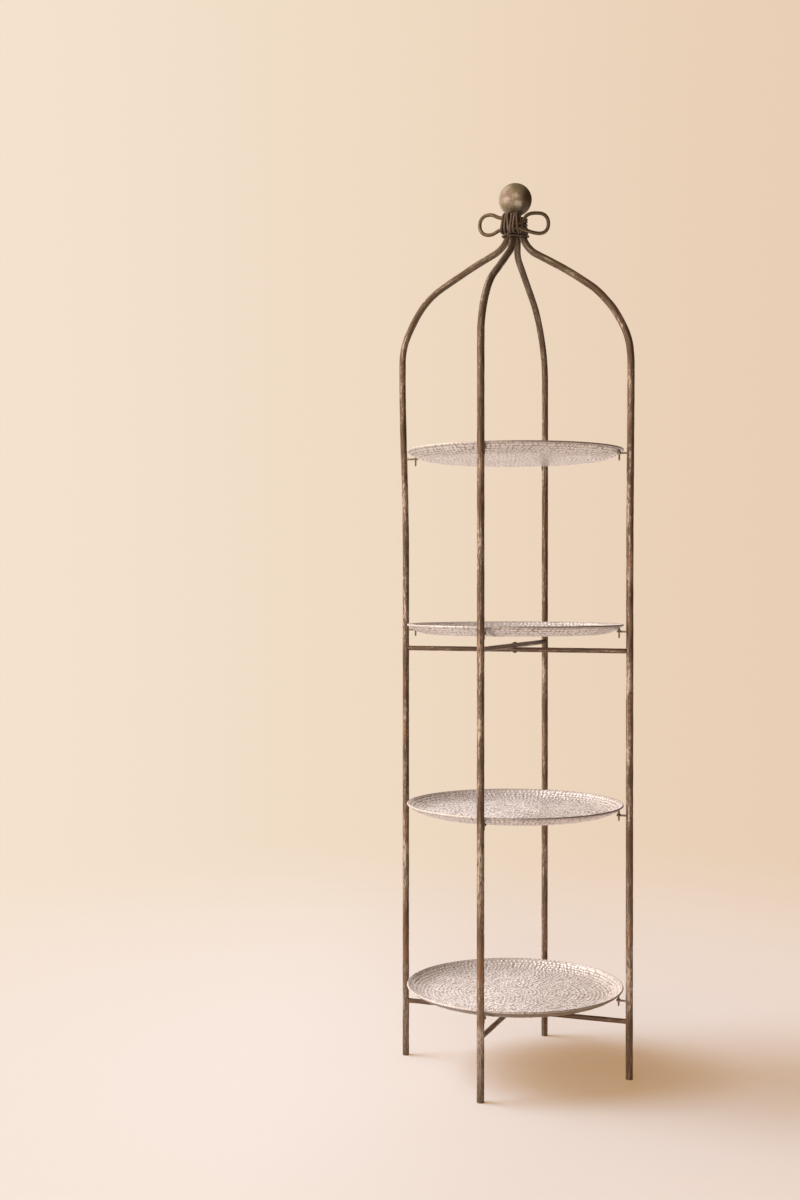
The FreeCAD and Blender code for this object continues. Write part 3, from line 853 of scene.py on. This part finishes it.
# Tray holders: turned pins under the lip and the eyes that take them
def lathe(shape, profile):
    """Turn a closed (radius, height) outline about an upright axis on the circle of the pins."""
    corners = [shape.verts.new((PIN_CIRCLE + r, 0, z)) for r, z in profile]
    edges = [shape.edges.new(ends) for ends in zip(corners, corners[1:] + corners[:1])]
    bmesh.ops.spin(shape, geom=corners + edges, cent=(PIN_CIRCLE, 0, 0), axis=(0, 0, 1),
                   angle=TURN, steps=LATHE_STEPS, use_merge=True)
    bmesh.ops.remove_doubles(shape, verts=shape.verts, dist=LATHE_SEAM)


def ease_edges(shape, width):
    sharp = [edge for edge in shape.edges if edge.is_manifold and edge.calc_face_angle() > SHARP]
    bmesh.ops.bevel(shape, geom=sharp, offset=width, segments=2, profile=0.5, affect="EDGES",
                    clamp_overlap=True)


def build_pin(shape, lift):
    """A tapered pin fixed under the wall, with a collar that rests on its eye."""
    slope = math.asin((PIN_CIRCLE - TRAY_FLOOR) / TRAY_WALL)
    top = TRAY_WALL * (1 - math.cos(slope)) + TRAY_SHEET / 2
    rest = lift + EYE_STOCK
    lathe(shape, [(0, -PIN_REACH), (PIN_TIP / 2, -PIN_REACH), (PIN / 2, PIN_TAPER - PIN_REACH),
                  (PIN / 2, rest), (COLLAR / 2, rest), (COLLAR / 2, rest + COLLAR_DEPTH),
                  (PIN / 2, rest + COLLAR_DEPTH), (PIN / 2, top), (0, top)])
    ease_edges(shape, PIN_EASE)


def build_eye(shape, lift):
    """A ring on a tongue that widens where it meets the leg."""
    hole, rim = EYE_HOLE / 2, EYE_HOLE / 2 + EYE_RIM
    rest = lift + EYE_STOCK
    lathe(shape, [(hole, lift), (rim, lift), (rim, rest), (hole, rest)])
    start = PIN_CIRCLE + hole + EYE_RIM / 2
    for vertex in bmesh.ops.create_cube(shape, size=1.0)["verts"]:
        vertex.co.x = start + (vertex.co.x + 0.5) * (LEG_CIRCLE - start)
        foot = vertex.co.x >= LEG_CIRCLE - EYE_STOCK / 2
        vertex.co.y *= EYE_STOCK * (TONGUE_FOOT if foot else 1.0)
        vertex.co.z = lift + (vertex.co.z + 0.5) * EYE_STOCK
    ease_edges(shape, EYE_EASE)


for tier in TIERS:
    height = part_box("tray_" + tier)[0].z
    eyes = ["eye_" + tier + "_" + leg for leg in LEGS]
    for name, build, body, nodes in (("pins", build_pin, tier + "_tray", ["tray_pins_" + tier]),
                                     ("eyes", build_eye, "frame", eyes)):
        piece = plain_mesh(name, lambda shape: build(shape, EYE_LIFTS[tier]))
        for vertex in piece.vertices:
            vertex.co.z += height
        mesh = ROUND.shape(name, piece, Count=len(LEGS), Finish=FITTING)
        add_piece("tray_" + name + "_" + tier, mesh, body, "aged_iron", *nodes)


# Ball
def build_ball(shape):
    centre = Vector((0, 0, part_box("finial_ball")[1].z - BALL / 2))
    bmesh.ops.create_icosphere(shape, subdivisions=BALL_DIVISIONS, radius=BALL / 2)
    for vertex in shape.verts:
        dent = sum(noise.noise(vertex.co * close) * depth for close, depth in BALL_DENTS)
        vertex.co = centre + vertex.co * (1 - (BALL_SKIN - dent) / (BALL / 2))


mesh = plain_mesh("ball", build_ball)
mesh.materials.append(PATINA)
mesh.shade_smooth()
add_piece("patinated_ball", mesh, "frame", "finial_patina", "finial_ball")


# Neck wire
def binding_line():
    """Close turns that lie on the four rods and run straight from rod to rod."""
    start = ROD_TOP - BIND_TOP - BIND_TURNS * BIND_PITCH
    points = []
    for step in range(BIND_TURNS * BIND_STEPS + 1):
        turns = BIND_START + step / BIND_STEPS
        height = start + BIND_PITCH * turns + BIND_WAVE * math.sin(BIND_WAVES * TURN * turns)
        drop = min(max((NECK_Z - height + BIND_WIRE / 2) / NECK_BEND, 0.0), 1.0)
        flare = math.asin(drop)
        rod = NECK_CIRCLE + NECK_BEND * (1 - math.cos(flare))
        over = LEG_ROD / 2 / math.cos(flare) + BIND_WIRE / 2
        angle = TURN * (turns + 0.25)
        off = abs((angle / (TURN / 4) + 0.5) % 1.0 - 0.5) * TURN / 4
        touch = math.atan2(over * math.sin(TURN / 8), rod + over * math.cos(TURN / 8))
        if off < touch:
            reach = rod * math.cos(off) + math.sqrt(over ** 2 - (rod * math.sin(off)) ** 2)
        else:
            reach = (rod * math.cos(TURN / 8) + over) / math.cos(TURN / 8 - off)
        points.append((reach * math.cos(angle), reach * math.sin(angle), height))
    return points


def knot_line():
    """Upright turns round the bow's strands, uneven and leaning a little."""
    bend = math.pi * KNOT_ROUND
    whole = 2 * bend + 4 * KNOT_HALF
    points = []
    for step in range(KNOT_TURNS * KNOT_STEPS + KNOT_TAIL):
        turns = step / KNOT_STEPS
        run = (turns % 1.0) * whole
        if run < bend:
            turn = run / KNOT_ROUND
            depth, height = math.cos(turn), -KNOT_HALF - KNOT_ROUND * math.sin(turn)
        elif run < bend + 2 * KNOT_HALF:
            depth, height = -1.0, run - bend - KNOT_HALF
        elif run < 2 * bend + 2 * KNOT_HALF:
            turn = (run - bend - 2 * KNOT_HALF) / KNOT_ROUND
            depth, height = -math.cos(turn), KNOT_HALF + KNOT_ROUND * math.sin(turn)
        else:
            depth, height = 1.0, KNOT_HALF - (run - 2 * bend - 2 * KNOT_HALF)
        phase = KNOT_LEANS[0] * math.floor(turns) + KNOT_LEANS[1]
        lean = KNOT_LEAN * math.sin(phase) * height / KNOT_HALF
        across = KNOT_LEFT + KNOT_PITCH * turns + lean
        back = KNOT_BACK * max(across + KNOT_LEFT, 0.0)
        swell = 1.0 + KNOT_SWELL * math.sin(KNOT_SWELLS * TURN * turns)
        points.append((across, KNOT_Y + back + depth * KNOT_ROUND * swell, KNOT_Z + height))
    return points


def joined(start, way_in, end, way_out, reach):
    """A smooth run from one point and heading to another."""
    points = []
    for step in range(JOIN_STEPS):
        s = step / JOIN_STEPS
        points.append(start * (2 * s ** 3 - 3 * s ** 2 + 1)
                      + way_in * reach * (s ** 3 - 2 * s ** 2 + s)
                      + end * (3 * s ** 2 - 2 * s ** 3)
                      + way_out * reach * (s ** 3 - s ** 2))
    return points


def bow_line(name, side):
    """One loop: out of the knot along the upper strand, round, and back along the lower one."""
    out = Vector((side, 0, 0))
    sweep = BOW_SWEEP[name]
    swept = Vector((side * math.cos(sweep), math.sin(sweep), 0))
    heart = Vector((0, KNOT_Y, KNOT_Z))
    mouth = heart - out * KNOT_LEFT
    lower = -KNOT_HALF * UP
    upper = lower + BOW_SPREAD[name] * UP
    eye = mouth + swept * BOW_REACH[name] + UP * BOW_RISE[name]
    crown = eye + UP * BOW_LOOP
    foot = eye - UP * BOW_LOOP
    points = [heart + upper]
    span = (crown - mouth).length
    if name == "right":
        heel = mouth + upper + (crown - mouth - upper) * BOW_HEEL
        climb = swept * math.cos(BOW_STEEP) + UP * math.sin(BOW_STEEP)
        points += joined(mouth + upper, out, heel, climb, BOW_PULL[0] * span)
        points += joined(heel, climb, crown, swept, BOW_PULL[1] * span)
    else:
        points += joined(mouth + upper, out, crown, swept, span)
    for step in range(BOW_STEPS):
        turn = math.pi * (0.5 - step / BOW_STEPS)
        across = math.cos(turn) ** BOW_SQUARE[0]
        upright = math.copysign(abs(math.sin(turn)) ** BOW_SQUARE[1], math.sin(turn))
        points.append(eye + swept * BOW_LOOP * across + UP * BOW_LOOP * upright)
    points += joined(foot, -swept, mouth + lower, -out, span)
    points += [mouth + lower, heart + lower]
    return [tuple(point) for point in points]


NECK_WIRES = {
    "neck_binding": (binding_line(), BIND_WIRE, WIRE),
    "bow_knot": (turned(knot_line(), BOW_TURN), KNOT_WIRE, WIRE),
    "bow_loop_left": (turned(bow_line("left", -1), BOW_TURN), BOW_WIRE, BOW_IRON),
    "bow_loop_right": (turned(bow_line("right", 1), BOW_TURN), BOW_WIRE, BOW_IRON),
}
for number, (node, (run, wire, finish)) in enumerate(NECK_WIRES.items()):
    mesh = ROD.shape(node, line_mesh(even(run, WIRE_STEP), ROD_EASE), Diameter=wire,
                     Seed=seed("wire", number), Finish=finish, **WIRE_FORGING)
    add_piece("wound_" + node, mesh, "frame", "neck_wire", node)

# Solids: all get the fittings' iron, and the rivets and the post are the ones that stay
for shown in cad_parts.values():
    shown.data.materials.clear()
    shown.data.materials.append(FITTING)


# Stage
def build_floor(shape):
    bmesh.ops.create_circle(shape, cap_ends=True, segments=FLOOR_SIDES, radius=FLOOR_REACH)


paper = plain_mesh("floor", build_floor)
paper.materials.append(floor_finish())
floor = bpy.data.objects.new("floor", paper)
bpy.context.scene.collection.objects.link(floor)

# Light: a cool sun that makes no glints, and a sky of broad soft patches
lamp = bpy.data.lights.new("key_left", "SUN")
lamp.energy = SUN_POWER
lamp.angle = SUN_SPREAD
lamp.color = SUN_COLOUR
sun = bpy.data.objects.new("key_left", lamp)
sun.rotation_euler = (-SUN_FROM).to_track_quat("-Z", "Y").to_euler()
sun.visible_glossy = False
bpy.context.scene.collection.objects.link(sun)

world = bpy.data.worlds.new("studio")
world.use_nodes = True
sky = Nodes(world.node_tree)
sky_way = sky.add("ShaderNodeTexCoord")["Generated"]


def facing(direction):
    """How nearly a part of the sky lies in a direction: 1 there, -1 opposite."""
    return sky.add("ShaderNodeVectorMath", {"operation": "DOT_PRODUCT"},
                   {0: sky_way, 1: direction})["Value"]


SKY_DARK = rgb(0.085, 0.048, 0.022)
# Patches laid over one another: where, how near they start and are full, their share and colour
SKY_PATCHES = (
    (-0.90 * VIEW_RIGHT - 0.43 * VIEW_AWAY, 0.0, 0.9, 1.0, rgb(1.6, 1.28, 1.0)),
    (0.99 * VIEW_AWAY - 0.10 * VIEW_RIGHT, 0.72, 0.97, 1.0, rgb(1.62, 1.38, 1.24)),
    (UP, 0.45, 0.95, 0.7, rgb(0.44, 0.33, 0.24)),
    (UP, -0.05, -0.4, 1.0, rgb(0.66, 0.55, 0.46)),
    (GLINT_FROM, 0.90, 0.99, 1.0, rgb(3.2, 2.8, 2.6)),
)
BACKDROP_LIGHT_AND_SHADE = rgb(0.80, 0.612, 0.452), rgb(0.91, 0.765, 0.615)   # right and left: painted shade to the right, painted light to the left
BACKDROP_TURN = (-0.35, 0.3)
light = SKY_DARK
for direction, start, full, share, colour in SKY_PATCHES:
    light = sky.mix(facing(direction).rise(start, full) * share, light, colour)
# The backdrop the camera sees: painted light, lighter to the left
backdrop = sky.mix(facing(-VIEW_RIGHT).rise(*BACKDROP_TURN), *BACKDROP_LIGHT_AND_SHADE)
seen = sky.add("ShaderNodeLightPath")["Is Camera Ray"]
sky.plug(world.node_tree.nodes["Background"].inputs["Color"], sky.mix(seen, light, backdrop))
bpy.context.scene.world = world
bpy.context.scene.view_settings.view_transform = "Standard"

# Camera
lens = bpy.data.cameras.new("camera")
lens.lens = CAMERA_LENS
camera = bpy.data.objects.new("camera", lens)
camera.location = CAMERA_PLACE
camera.rotation_euler = CAMERA_AIM.to_track_quat("-Z", "Y").to_euler()
bpy.context.scene.collection.objects.link(camera)
bpy.context.scene.camera = camera
